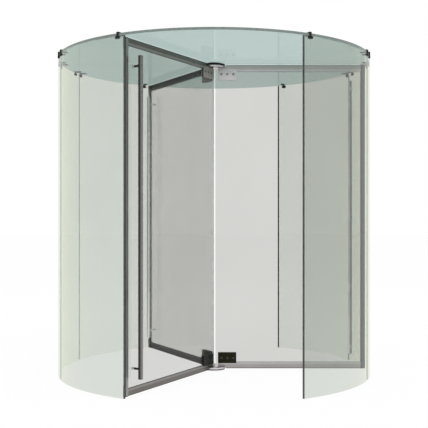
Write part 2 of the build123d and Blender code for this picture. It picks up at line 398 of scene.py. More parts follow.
@dataclass(frozen=True)
class GlassFinish:
    """Clear toughened glass: tinted, with gloss that grows at a low angle and dark edges.

    Attributes:
        name: The material's name.
        form: How the pane's faces lie.
        through: What a face lets through.
        edge: The ground edge's colour.
        low_angle: What the tint is multiplied by at the lowest angle.
        coat: What an outer face lets through where it is met from the air, if that differs.
        straight_on: The gloss of a face seen straight on.
        grazing: Its gloss at the lowest angle.
        steepness: How late the gloss grows.
        fade: How much brighter the foot is than the middle, and darker the head.
        angle: The wing's angle in radians, for an upright pane.
        free_from: How far out an edge is open, in metres.
        end_from: How far out all faces belong to the dark end, in metres.

    The fields after these shape the haze, the bend, the gloss and the ground edge.
    """

    name: str
    form: GlassForm
    through: Colour
    edge: Colour
    low_angle: Colour = (1.0, 1.0, 1.0)
    coat: Colour | None = None
    straight_on: float = 0.04
    grazing: float = 0.5
    steepness: float = 5.0
    fade: float = 0.0
    angle: float = 0.0
    free_from: float = 0.0
    end_from: float = 10.0
    haze_scale: float = 1.7
    haze_detail: float = 3.0
    haze_least: float = 0.985
    haze_height: float = 2.2
    slant_power: float = 3.0
    bend: float = 1.5
    polish: float = 0.02
    edge_grain: float = 60.0
    edge_detail: float = 4.0
    edge_break: float = 0.6
    edge_dark: float = 0.72
    edge_rough: tuple[float, float] = (0.2, 0.36)
    across_limit: float = 0.8
    turned_limit: float = 0.6
    upright_limit: float = 0.3

    def edge_mask(self, graph: NodeGraph) -> bpy.types.NodeSocket:
        """Socket that is 1 on the pane's open edges and 0 on its faces and bonded joints.

        Args:
            graph: The material in the making.

        Returns:
            The mask's socket.
        """
        if self.form is GlassForm.UPRIGHT:
            across = (math.sin(self.angle), -math.cos(self.angle), 0.0)
            facing = graph.vector("DOT_PRODUCT", graph.normal, across)
            flat = graph.math("ABSOLUTE", facing.outputs["Value"])
            return graph.math("LESS_THAN", flat, self.across_limit)
        outward = graph.vector("NORMALIZE", graph.from_axis)
        if self.form is GlassForm.CURVED:
            along = graph.vector("CROSS_PRODUCT", outward.outputs[0], (0.0, 0.0, 1.0))
            facing = graph.vector("DOT_PRODUCT", graph.normal, along.outputs[0])
            reach = graph.vector("DOT_PRODUCT", graph.place, (0.0, 1.0, 0.0))
        else:
            facing = graph.vector("DOT_PRODUCT", graph.normal, outward.outputs[0])
            reach = graph.vector("LENGTH", graph.from_axis)
        turned_out = graph.math("ABSOLUTE", facing.outputs["Value"])
        far = graph.math("ABSOLUTE", reach.outputs["Value"])
        rim = graph.math(
            "MULTIPLY",
            graph.math("GREATER_THAN", turned_out, self.turned_limit),
            graph.math("GREATER_THAN", far, self.free_from),
        )
        return graph.math("MAXIMUM", rim, graph.math("GREATER_THAN", far, self.end_from))

    def bent(self, graph: NodeGraph, tint: object, straight: object) -> object:
        """Light bent by a level pane; its upright faces and its shadows stay clear.

        Args:
            graph: The material in the making.
            tint: The pane's colour.
            straight: The unbent shader, used for shadows.

        Returns:
            The shader's socket.
        """
        bend = graph.add("ShaderNodeBsdfRefraction")
        graph.feed(bend.inputs["Color"], tint)
        bend.inputs["Roughness"].default_value = 0.0
        bend.inputs["IOR"].default_value = self.bend
        path = graph.add("ShaderNodeLightPath")
        shade = graph.mix_shaders(path.outputs["Is Shadow Ray"], bend.outputs[0], straight)
        rise = graph.math("ABSOLUTE", graph.upward(graph.normal))
        upright = graph.math("LESS_THAN", rise, self.upright_limit)
        clear = graph.add("ShaderNodeBsdfTransparent")
        return graph.mix_shaders(upright, shade, clear.outputs[0])

    def sides(self, graph: NodeGraph) -> tuple[bpy.types.NodeSocket, bpy.types.NodeSocket]:
        """Sockets that are 1 where a face is met from the air, and on the drum's outer faces.

        Args:
            graph: The material in the making.

        Returns:
            Both masks' sockets.
        """
        geometry = graph.add("ShaderNodeNewGeometry")
        front = graph.math("SUBTRACT", 1.0, geometry.outputs["Backfacing"])
        outward = graph.vector("DOT_PRODUCT", graph.normal, graph.from_axis)
        return front, graph.math("GREATER_THAN", outward.outputs["Value"], 0.0)

    def build(self) -> bpy.types.Material:
        """Make the material.

        Returns:
            The glass material.
        """
        graph = NodeGraph(self.name)
        facing = graph.add("ShaderNodeLayerWeight")
        facing.inputs["Blend"].default_value = 0.5
        away = facing.outputs["Facing"]
        steep = graph.math("POWER", away, self.steepness)
        growth = self.grazing - self.straight_on
        mirror = graph.math("MULTIPLY_ADD", steep, growth, self.straight_on)
        body = self.through
        if self.coat is not None:
            coated = graph.math("MULTIPLY", *self.sides(graph))
            mirror = graph.math("MULTIPLY", mirror, coated)
            body = graph.blend(coated, self.through, self.coat)
        slant = graph.math("POWER", away, self.slant_power)
        tint = graph.vector("MULTIPLY", body, graph.blend(slant, (1.0, 1.0, 1.0), self.low_angle))
        clouds = graph.noise(graph.place, self.haze_scale, self.haze_detail)
        haze = graph.swing(clouds, self.haze_least, 1.0)
        height = graph.upward(graph.place)
        fade = graph.span(height, 0.0, self.haze_height, 1.0 + self.fade, 1.0 - self.fade)
        hazed = graph.vector("SCALE", tint.outputs[0])
        graph.feed(hazed.inputs["Scale"], graph.math("MULTIPLY", haze, fade))
        clear = graph.add("ShaderNodeBsdfTransparent")
        graph.feed(clear.inputs["Color"], hazed.outputs[0])
        through = clear.outputs[0]
        if self.form is GlassForm.LEVEL:
            through = self.bent(graph, hazed.outputs[0], through)
            mirror = graph.math("MULTIPLY", mirror, self.sides(graph)[0])
        gloss = graph.add("ShaderNodeBsdfGlossy")
        gloss.inputs["Color"].default_value = (1.0, 1.0, 1.0, 1.0)
        gloss.inputs["Roughness"].default_value = self.polish
        face = graph.mix_shaders(mirror, through, gloss.outputs[0])
        edge = graph.add("ShaderNodeBsdfPrincipled")
        ground = graph.noise(graph.place, self.edge_grain, self.edge_detail, self.edge_break)
        dark = tuple(self.edge_dark * c for c in self.edge)
        tone = graph.blend(graph.swing(ground, 0.0, 1.0), dark, self.edge)
        graph.feed(edge.inputs["Base Color"], tone)
        graph.feed(edge.inputs["Roughness"], graph.swing(ground, *self.edge_rough))
        mask = self.edge_mask(graph)
        if self.form is GlassForm.LEVEL:
            mask = graph.math("MULTIPLY", mask, self.sides(graph)[0])
        return graph.finish(graph.mix_shaders(mask, face, edge.outputs[0]))


class Where(Enum):
    """Which part of a metal piece takes its painted light and shade."""

    ABOVE = "above a height"
    BELOW = "below a height"
    LEVEL = "on faces that look up or down"
    TOWARDS = "on faces that look towards a direction in plan"


@dataclass(frozen=True)
class PaintedTone:
    """Painted light and shade: a second colour on part of a metal piece that stands in for how
    light falls on it.

    Attributes:
        colour: The painted colour.
        where: Which part takes it.
        limit: The height in metres, or how squarely a face has to look that way.
        angle: The direction in radians, for TOWARDS.
        soft: How wide the change is on either side of the limit.
    """

    colour: Colour
    where: Where
    limit: float
    angle: float = 0.0
    soft: float = 0.0002

    def share(self, graph: NodeGraph) -> bpy.types.NodeSocket:
        """Share of the painted colour, from 0 to 1.

        Args:
            graph: The material in the making.

        Returns:
            The share's socket.
        """
        if self.where is Where.TOWARDS:
            aim = (math.cos(self.angle), math.sin(self.angle), 0.0)
            value = graph.vector("DOT_PRODUCT", graph.normal, aim).outputs["Value"]
        elif self.where is Where.LEVEL:
            value = graph.math("ABSOLUTE", graph.upward(graph.normal))
        else:
            value = graph.upward(graph.place)
        ends = (1.0, 0.0) if self.where is Where.BELOW else (0.0, 1.0)
        return graph.span(value, self.limit - self.soft, self.limit + self.soft, *ends)


@dataclass(frozen=True)
class MetalFinish:
    """Satin or brushed metal with a grain along the way it was worked.

    Attributes:
        name: The material's name.
        colour: Its colour.
        grain: The way it was worked.
        angle: The wing's angle in radians, for a wing's piece.
        rough: Its roughness.
        grain_depth: How much the grain changes the colour.
        metallic: How metallic it is, from 0 to 1.
        second: Its painted light and shade, each tone laid over the last.
        shine: Its gloss where it isn't metallic.

    The fields after these shape the grain, the clouds and the bump.
    """

    name: str
    colour: Colour
    grain: Grain
    angle: float = 0.0
    rough: float = 0.3
    grain_depth: float = 0.12
    metallic: float = 1.0
    second: tuple[PaintedTone, ...] = ()
    shine: float = 0.5
    grain_scale: float = 12.0
    grain_detail: float = 5.0
    grain_break: float = 0.65
    grain_range: tuple[float, float] = (0.25, 0.75)
    cloud_scale: float = 6.0
    cloud_detail: float = 3.0
    cloud_tone: tuple[float, float] = (0.94, 1.05)
    cloud_wear: tuple[float, float] = (0.9, 1.15)
    streak_wear: float = 0.1
    ring_scale: float = 80.0
    bump: tuple[float, float] = (0.12, 0.0004)

    def grain_place(self, graph: NodeGraph) -> bpy.types.NodeSocket:
        """Coordinates stretched along the grain.

        Args:
            graph: The material in the making.

        Returns:
            The coordinates' socket.
        """
        if self.grain in GRAIN_STRETCH:
            return graph.turned_place(self.angle, GRAIN_STRETCH[self.grain])
        radius = graph.vector("LENGTH", graph.from_axis).outputs["Value"]
        height = graph.upward(graph.place)
        rings = graph.add("ShaderNodeCombineXYZ")
        for index, value in ((0, radius), (2, height)):
            graph.feed(rings.inputs[index], graph.math("MULTIPLY", value, self.ring_scale))
        return rings.outputs[0]

    def tone(self, graph: NodeGraph) -> object:
        """The metal's colour, with its painted light and shade laid over it in turn.

        Args:
            graph: The material in the making.

        Returns:
            A colour or a colour's socket.
        """
        tone = self.colour
        for other in self.second:
            tone = graph.blend(other.share(graph), tone, other.colour)
        return tone

    def build(self) -> bpy.types.Material:
        """Make the material.

        Returns:
            The metal material.
        """
        graph = NodeGraph(self.name)
        streaks = graph.noise(
            self.grain_place(graph), self.grain_scale, self.grain_detail, self.grain_break
        )
        clouds = graph.noise(graph.place, self.cloud_scale, self.cloud_detail)
        depths = (1.0 - self.grain_depth, 1.0 + self.grain_depth)
        fine = graph.span(streaks, *self.grain_range, *depths)
        soft = graph.swing(clouds, *self.cloud_tone)
        base = graph.vector("SCALE", self.tone(graph))
        graph.feed(base.inputs["Scale"], graph.math("MULTIPLY", fine, soft))
        metal = graph.add("ShaderNodeBsdfPrincipled")
        graph.feed(metal.inputs["Base Color"], base.outputs[0])
        metal.inputs["Metallic"].default_value = self.metallic
        metal.inputs["Specular IOR Level"].default_value = self.shine
        worn = graph.math("MULTIPLY", graph.swing(clouds, *self.cloud_wear), self.rough)
        least = graph.math("SUBTRACT", worn, self.streak_wear / 2.0)
        rough = graph.math("MULTIPLY_ADD", streaks, self.streak_wear, least)
        graph.feed(metal.inputs["Roughness"], rough)
        graph.feed(metal.inputs["Normal"], graph.bump(streaks, *self.bump))
        return graph.finish(metal.outputs[0])


@dataclass(frozen=True)
class SoftFinish:
    """Plastic, sealant or brush pile: a fine grain over a plain colour.

    Attributes:
        name: The material's name.
        colour: Its colour.
        rough: Its roughness.
        stretch: How many times finer the grain is along X, Y and Z.
        scale: The grain's scale.
        depth: How much the grain changes the colour.
        angle: The wing's angle in radians, for a wing's piece.
        sheen: How much soft light its pile gives back.
        clear: The share of light that goes straight through.
        through: The colour of that light.

    The fields after these shape the grain and the bump.
    """

    name: str
    colour: Colour
    rough: float
    stretch: tuple[float, float, float]
    scale: float
    depth: float
    angle: float = 0.0
    sheen: float = 0.0
    clear: float = 0.0
    through: Colour = (0.93, 0.96, 0.94)
    rough_swing: float = 0.07
    grain_detail: float = 4.0
    grain_break: float = 0.6
    bump: tuple[float, float] = (0.3, 0.0005)

    def build(self) -> bpy.types.Material:
        """Make the material.

        Returns:
            The material.
        """
        graph = NodeGraph(self.name)
        place = graph.turned_place(self.angle, self.stretch)
        grain = graph.noise(place, self.scale, self.grain_detail, self.grain_break)
        base = graph.vector("SCALE", self.colour)
        graph.feed(base.inputs["Scale"], graph.swing(grain, 1.0 - self.depth, 1.0 + self.depth))
        skin = graph.add("ShaderNodeBsdfPrincipled")
        graph.feed(skin.inputs["Base Color"], base.outputs[0])
        least, most = self.rough - self.rough_swing, self.rough + self.rough_swing
        graph.feed(skin.inputs["Roughness"], graph.swing(grain, least, most))
        skin.inputs["Sheen Weight"].default_value = self.sheen
        graph.feed(skin.inputs["Normal"], graph.bump(grain, *self.bump))
        if not self.clear:
            return graph.finish(skin.outputs[0])
        through = graph.add("ShaderNodeBsdfTransparent")
        graph.feed(through.inputs["Color"], self.through)
        return graph.finish(graph.mix_shaders(self.clear, skin.outputs[0], through.outputs[0]))


# ---------------------------------------------------------------- meshes


def turned_by(angle: float) -> Matrix:
    """Turn from a piece drawn along +X to its place.

    Args:
        angle: The piece's angle in radians.

    Returns:
        The rotation about the drum's axis.
    """
    return Matrix.Rotation(angle, 4, AXIS)


def outline_face(bm: bmesh.types.BMesh, corners: Iterable[Sequence[float]]) -> bmesh.types.BMFace:
    """Add one flat face from a few corners.

    Args:
        bm: The mesh in the making.
        corners: Its corners, in order.

    Returns:
        The new face.
    """
    return bm.faces.new([bm.verts.new(Vector(c)) for c in corners])


def extruded(bm: bmesh.types.BMesh, face: bmesh.types.BMFace, along: Vector) -> list:
    """Push a face into a closed solid.

    Args:
        bm: The mesh in the making.
        face: The outline's face.
        along: How far, and which way.

    Returns:
        The solid's vertices.
    """
    start = list(face.verts)
    made = bmesh.ops.extrude_face_region(bm, geom=[face])
    moved = [v for v in made["geom"] if isinstance(v, bmesh.types.BMVert)]
    bmesh.ops.translate(bm, verts=moved, vec=along)
    return start + moved


def rounded(bm: bmesh.types.BMesh, edges: Sequence, offset: float, segments: int = 2) -> None:
    """Bevel edges with the usual round profile.

    Args:
        bm: The mesh in the making.
        edges: The edges to round.
        offset: The bevel's width in metres.
        segments: How many faces the round has.
    """
    bmesh.ops.bevel(
        bm,
        geom=list(edges),
        offset=offset,
        offset_type="OFFSET",
        segments=segments,
        profile=0.5,
        affect="EDGES",
        clamp_overlap=True,
        material=-1,
    )


def sharp_edges(bm: bmesh.types.BMesh, least: float = CORNER) -> list:
    """Edges whose two faces meet at more than an angle.

    Args:
        bm: The mesh in the making.
        least: The smallest angle that counts, in radians.

    Returns:
        The edges.
    """
    return [e for e in bm.edges if len(e.link_faces) == 2 and e.calc_face_angle(0.0) > least]


def turned(profile: Sequence[Point2], steps: int = 96) -> bmesh.types.BMesh:
    """Turn a profile about the drum's axis.

    Args:
        profile: Radius and height of each corner, from the axis back to the axis.
        steps: How many steps the turn has.

    Returns:
        The closed turned solid.
    """
    bm = bmesh.new()
    line = [bm.verts.new((r, 0.0, z)) for r, z in profile]
    edges = [bm.edges.new(pair) for pair in zip(line, line[1:])]
    bmesh.ops.spin(
        bm,
        geom=line + edges,
        cent=ORIGIN,
        axis=AXIS,
        dvec=ORIGIN,
        angle=FULL_TURN,
        steps=steps,
        use_merge=True,
        use_duplicate=False,
    )
    bmesh.ops.remove_doubles(bm, verts=bm.verts, dist=NEAR)
    bmesh.ops.recalc_face_normals(bm, faces=bm.faces)
    return bm


def made_object(
    name: str,
    bm: bmesh.types.BMesh,
    material: bpy.types.Material,
    body: Body,
    nodes: Sequence[str] = (),
    smooth: float = 0.7,
) -> bpy.types.Object:
    """Turn a finished mesh into a piece that rides on a body.

    Args:
        name: The piece's name.
        bm: The finished mesh, in the door's frame. It is freed.
        material: The piece's finish.
        body: The body it moves with.
        nodes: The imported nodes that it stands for.
        smooth: The angle in radians above which an edge stays sharp.

    Returns:
        The new object.
    """
    mesh = bpy.data.meshes.new(name)
    for face in bm.faces:
        face.smooth = True
    for edge in bm.edges:
        edge.smooth = edge.calc_face_angle(0.0) < smooth if len(edge.link_faces) == 2 else False
    open_edges = sum(1 for e in bm.edges if len(e.link_faces) != 2)
    bm.to_mesh(mesh)
    bm.free()
    mesh.materials.append(material)
    piece = bpy.data.objects.new(name, mesh)
    bpy.context.scene.collection.objects.link(piece)
    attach(piece, body.value)
    if nodes:
        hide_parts(*nodes)
    LOG.info("%s: %d faces, %d open edges", name, len(mesh.polygons), open_edges)
    return piece


def dress(node: str, material: bpy.types.Material) -> None:
    """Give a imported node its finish.

    Args:
        node: The node's name.
        material: Its finish.
    """
    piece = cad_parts[node]
    piece.data.materials.clear()
    piece.data.materials.append(material)
    LOG.info("%s: dressed as %s", node, material.name)


def merged(whole: bmesh.types.BMesh, part: bmesh.types.BMesh) -> None:
    """Move a finished mesh into another.

    Args:
        whole: The mesh that grows.
        part: The mesh that goes in. It is freed.
    """
    scratch = bpy.data.meshes.new("scratch")
    part.to_mesh(scratch)
    part.free()
    whole.from_mesh(scratch)
    bpy.data.meshes.remove(scratch)


def topmost(bm: bmesh.types.BMesh) -> bmesh.types.BMFace:
    """The highest face, and of those at one height the largest.

    Args:
        bm: The mesh to look through.

    Returns:
        The face.
    """
    return max(bm.faces, key=lambda f: (round(f.calc_center_median().z / NEAR), f.calc_area()))


@dataclass(frozen=True)
class HexScrew:
    """A flat-headed screw with a hex socket, sizes in metres."""

    radius: float
    height: float
    socket: float
    segments: int = 24
    socket_sides: int = 6
    round_share: float = 0.35
    rim_share: float = 0.3
    dip_share: float = 0.7

    def add(self, bm: bmesh.types.BMesh, place: Matrix) -> None:
        """Add the screw, its axis along the place's Z.

        Args:
            bm: The mesh in the making.
            place: Where the head's foot sits, and which way it faces.
        """
        head = bmesh.new()
        bmesh.ops.create_circle(head, cap_ends=True, radius=self.radius, segments=self.segments)
        head.faces.ensure_lookup_table()
        extruded(head, head.faces[0], AXIS * self.height)
        bmesh.ops.recalc_face_normals(head, faces=head.faces)
        rounded(head, topmost(head).edges, self.height * self.round_share)
        rim = self.radius * self.rim_share
        bmesh.ops.inset_individual(head, faces=[topmost(head)], thickness=rim, depth=0.0)
        inner = topmost(head)
        centre = inner.calc_center_median()
        for vert in inner.verts:
            flat = vert.co - centre
            vert.co = centre + flat.normalized() * self.socket_reach(flat)
        dip = bmesh.ops.extrude_discrete_faces(head, faces=[inner])["faces"]
        down = AXIS * (-self.height * self.dip_share)
        bmesh.ops.translate(head, verts=list(dip[0].verts), vec=down)
        bmesh.ops.transform(head, matrix=place, verts=head.verts)
        merged(bm, head)

    def socket_reach(self, flat: Vector) -> float:
        """How far the hex socket's outline lies from its middle.

        Args:
            flat: The direction to look in.

        Returns:
            The distance in metres.
        """
        half = FULL_TURN / self.socket_sides / 2.0
        turn = math.atan2(flat.y, flat.x)
        sector = (turn + half) % (2.0 * half) - half
        return self.socket * math.cos(half) / math.cos(sector)


# ---------------------------------------------------------------- the door's sizes


@dataclass(frozen=True)
class DoorSizes:
    """Sizes in metres that several sub-assemblies share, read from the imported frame."""

    outer: float = field(default_factory=lambda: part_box("canopy_back")[1].x)
    wall_top: float = field(default_factory=lambda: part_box("wall_left_middle")[1].z)
    canopy_top: float = field(default_factory=lambda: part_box("canopy_back")[1].z)
    wall_glass: float = 0.012
    wing_glass: float = 0.012
    opening: float = math.radians(29.25)
    panel: float = math.radians(40.0)
    joint: float = 0.003
    arris: float = 0.001

    @property
    def inner(self) -> float:
        """Radius of the walls' inner face."""
        return self.outer - self.wall_glass

    @property
    def half_wall(self) -> float:
        """Half of a side wall's angle."""
        return QUARTER_TURN - self.opening


# ---------------------------------------------------------------- side walls


@dataclass
class SideWalls:
    """Two curved glass walls of three panels each, with clear joints between the panels."""

    sizes: DoorSizes
    step: float = math.radians(1.0)
    smooth: float = math.radians(20.0)
    upright_from: float = 0.99

    def panel_spans(self) -> list[tuple[float, float]]:
        """Start and end of each panel of a wall, from the wall's middle.

        Returns:
            Three pairs of angles.
        """
        gap = math.asin(self.sizes.joint / 2.0 / self.sizes.outer)
        half, end = self.sizes.panel / 2.0, self.sizes.half_wall
        return [(-end, -half - gap), (-half + gap, half - gap), (half + gap, end)]

    def build(self, glass: bpy.types.Material) -> None:
        """Make the panels.

        Args:
            glass: The walls' glass.
        """
        words = {Side.RIGHT: ("front", "middle", "back"), Side.LEFT: ("back", "middle", "front")}
        for side in Side:
            for word, (start, end) in zip(words[side], self.panel_spans()):
                node = f"wall_{side.word}_{word}"
                bm = self.panel(side.middle + start, side.middle + end)
                made_object(
                    f"curved_{node}", bm, glass, Body.DRUM, [node], self.smooth
                )

    def panel(self, start: float, end: float) -> bmesh.types.BMesh:
        """Make one curved panel.

        Args:
            start: Its first edge's angle.
            end: Its last edge's angle.

        Returns:
            The panel's mesh.
        """
        sizes, bm = self.sizes, bmesh.new()
        corners = [
            (sizes.inner, 0.0, 0.0),
            (sizes.outer, 0.0, 0.0),
            (sizes.outer, 0.0, sizes.wall_top),
            (sizes.inner, 0.0, sizes.wall_top),
        ]
        section = outline_face(bm, corners)
        bmesh.ops.rotate(
            bm, verts=section.verts, cent=ORIGIN, matrix=Matrix.Rotation(start, 3, AXIS)
        )
        bmesh.ops.spin(
            bm,
            geom=[section, *section.edges, *section.verts],
            cent=ORIGIN,
            axis=AXIS,
            dvec=ORIGIN,
            angle=end - start,
            steps=max(2, round((end - start) / self.step)),
            use_merge=False,
            use_duplicate=False,
        )
        upright = [
            e
            for e in sharp_edges(bm)
            if abs((e.verts[0].co - e.verts[1].co).normalized().z) > self.upright_from
        ]
        rounded(bm, upright, sizes.arris)
        bmesh.ops.recalc_face_normals(bm, faces=bm.faces)
        return bm

    def dress(self, sealant: bpy.types.Material) -> None:
        """Finish the joints between the panels.

        Args:
            sealant: The clear joint's finish.
        """
        dress("wall_joint_seals", sealant)


# ---------------------------------------------------------------- canopy


@dataclass
class Canopy:
    """A flat glass disc in two halves, with a clear seam and a hole for the bearing."""

    sizes: DoorSizes
    steps: int = 180
    hole: float = 0.040
    smooth: float = 0.3

    def build(self, glass: bpy.types.Material, sealant: bpy.types.Material) -> None:
        """Make both halves and finish the seam.

        Args:
            glass: The canopy's glass.
            sealant: The seam's finish.
        """
        for word, side in (("back", 1.0), ("front", -1.0)):
            node, bm = f"canopy_{word}", self.half(side)
            made_object(
                f"disc_{node}", bm, glass, Body.DRUM, [node], self.smooth
            )
        dress("canopy_seam_seal", sealant)

    def half(self, side: float) -> bmesh.types.BMesh:
        """Make one half of the disc.

        Args:
            side: 1 for the half towards +Y, -1 for the other.

        Returns:
            The half's mesh.
        """
        sizes, bm = self.sizes, bmesh.new()
        low, high, arris = sizes.wall_top, sizes.canopy_top, sizes.arris
        section = outline_face(
            bm,
            [
                (self.hole, 0.0, low),
                (sizes.outer, 0.0, low),
                (sizes.outer, 0.0, high - arris),
                (sizes.outer - arris, 0.0, high),
                (self.hole, 0.0, high),
            ],
        )
        bmesh.ops.spin(
            bm,
            geom=[section, *section.edges, *section.verts],
            cent=ORIGIN,
            axis=AXIS,
            dvec=ORIGIN,
            angle=side * math.pi,
            steps=self.steps,
            use_merge=False,
            use_duplicate=False,
        )
        bmesh.ops.bisect_plane(
            bm,
            geom=[*bm.verts, *bm.edges, *bm.faces],
            plane_co=(0.0, side * sizes.joint / 2.0, 0.0),
            plane_no=(0.0, -side, 0.0),
            clear_outer=True,
            clear_inner=False,
        )
        bmesh.ops.holes_fill(bm, edges=[e for e in bm.edges if e.is_boundary], sides=0)
        bmesh.ops.recalc_face_normals(bm, faces=bm.faces)
        return bm


# ---------------------------------------------------------------- clamps


@dataclass
class RimClamps:
    """Bent straps that hold the canopy down: an arm on the glass, a neck and a foot on the wall."""

    sizes: DoorSizes
    width: float = 0.014
    neck_width: float = 0.009
    thick: float = 0.008
    reach: float = 0.044
    clear: float = 0.0003
    bend: float = 0.005
    bend_steps: int = 6
    tail_radius: float = 0.0045
    tail_steps: int = 5
    edge: float = 0.0007
    foot_width: float = 0.034
    foot_height: float = 0.017
    foot_drop: float = 0.002
    foot_radius: float = 0.006
    foot_steps: int = 6
    screw: HexScrew = HexScrew(0.0042, 0.0009, 0.0021)
    foot_screws: float = 0.0095
    end_angle: float = math.radians(2.5)
    pair_angle: float = math.radians(2.1)
    smooth: float = 0.5

    def angles(self) -> dict[str, list[float]]:
        """Where the clamps of a side stand, from its middle, by group.

        Returns:
            Angles in radians for the end clamps and for those at the joints.
        """
        end = self.sizes.half_wall - self.end_angle
        half = self.sizes.panel / 2.0
        pairs = [c + s * self.pair_angle for c in (-half, 0.0, half) for s in (-1.0, 1.0)]
        return {"end": [-end, end], "joint": pairs}

    def strap(self) -> bmesh.types.BMesh:
        """Make one clamp on the +X side.

        Returns:
            The clamp's mesh, screws included.
        """
        sizes, bm = self.sizes, bmesh.new()
        inner, outer = sizes.outer + self.clear, sizes.outer + self.clear + self.thick
        top = sizes.canopy_top + self.thick
        foot_top = sizes.wall_top - self.foot_drop
        foot_middle = foot_top - self.foot_height / 2.0
        tail, half = sizes.outer - self.reach, self.width / 2.0
        section = outline_face(
            bm,
            [
                (tail, -half, sizes.canopy_top),
                (inner, -half, sizes.canopy_top),
                (inner, -half, foot_middle),
                (outer, -half, foot_middle),
                (outer, -half, top),
                (tail, -half, top),
            ],
        )
        extruded(bm, section, Vector((0.0, self.width, 0.0)))
        bmesh.ops.recalc_face_normals(bm, faces=bm.faces)
        for vert in bm.verts:
            if vert.co.z < foot_top:
                vert.co.y *= self.neck_width / self.width
        knee = [
            e
            for e in bm.edges
            if all(abs(v.co.x - outer) < NEAR and abs(v.co.z - top) < NEAR for v in e.verts)
        ]
        rounded(bm, knee, self.bend, self.bend_steps)
        ends = [
            e
            for e in bm.edges
            if all(abs(v.co.x - tail) < NEAR for v in e.verts)
            and abs(e.verts[0].co.z - e.verts[1].co.z) > self.thick / 2.0
        ]
        rounded(bm, ends, self.tail_radius, self.tail_steps)
        rounded(bm, sharp_edges(bm, SQUARE_CORNER), self.edge)
        self.add_foot(bm, inner, outer, foot_middle)
        spot = (tail + self.width / 2.0, 0.0, top - self.screw.height / 2.0)
        self.screw.add(bm, Matrix.Translation(spot))
        return bm

    def add_foot(self, bm: bmesh.types.BMesh, inner: float, outer: float, middle: float) -> None:
        """Add the wide foot on the wall's face, with its two screws.

        Args:
            bm: The clamp in the making.
            inner: Where the foot's back lies, from the drum's axis.
            outer: Where its front lies.
            middle: The height of its middle.
        """
        foot, wide, tall = bmesh.new(), self.foot_width / 2.0, self.foot_height / 2.0
        corners = [(-wide, -tall), (wide, -tall), (wide, tall), (-wide, tall)]
        face = outline_face(foot, [(inner, y, middle + z) for y, z in corners])
        extruded(foot, face, Vector((outer - inner, 0.0, 0.0)))
        bmesh.ops.recalc_face_normals(foot, faces=foot.faces)
        through = [
            e for e in foot.edges if abs(e.verts[0].co.x - e.verts[1].co.x) > self.thick / 2.0
        ]
        rounded(foot, through, self.foot_radius, self.foot_steps)
        rounded(foot, sharp_edges(foot, SQUARE_CORNER), self.edge)
        turn = Matrix.Rotation(QUARTER_TURN, 4, "Y")
        for side in (-1.0, 1.0):
            spot = (outer - self.screw.height, side * self.foot_screws, middle)
            self.screw.add(foot, Matrix.Translation(spot) @ turn)
        merged(bm, foot)

    def build(self, metal: bpy.types.Material) -> None:
        """Make all four groups of clamps.

        Args:
            metal: The clamps' finish.
        """
        for side in Side:
            for group, angles in self.angles().items():
                whole = bmesh.new()
                for angle in angles:
                    one, turn = self.strap(), turned_by(side.middle + angle)
                    bmesh.ops.transform(one, matrix=turn, verts=one.verts)
                    merged(whole, one)
                node = f"{group}_clamps_{side.word}"
                made_object(
                    f"bent_{node}", whole, metal, Body.DRUM, [node], self.smooth
                )


# ---------------------------------------------------------------- bearings and hub


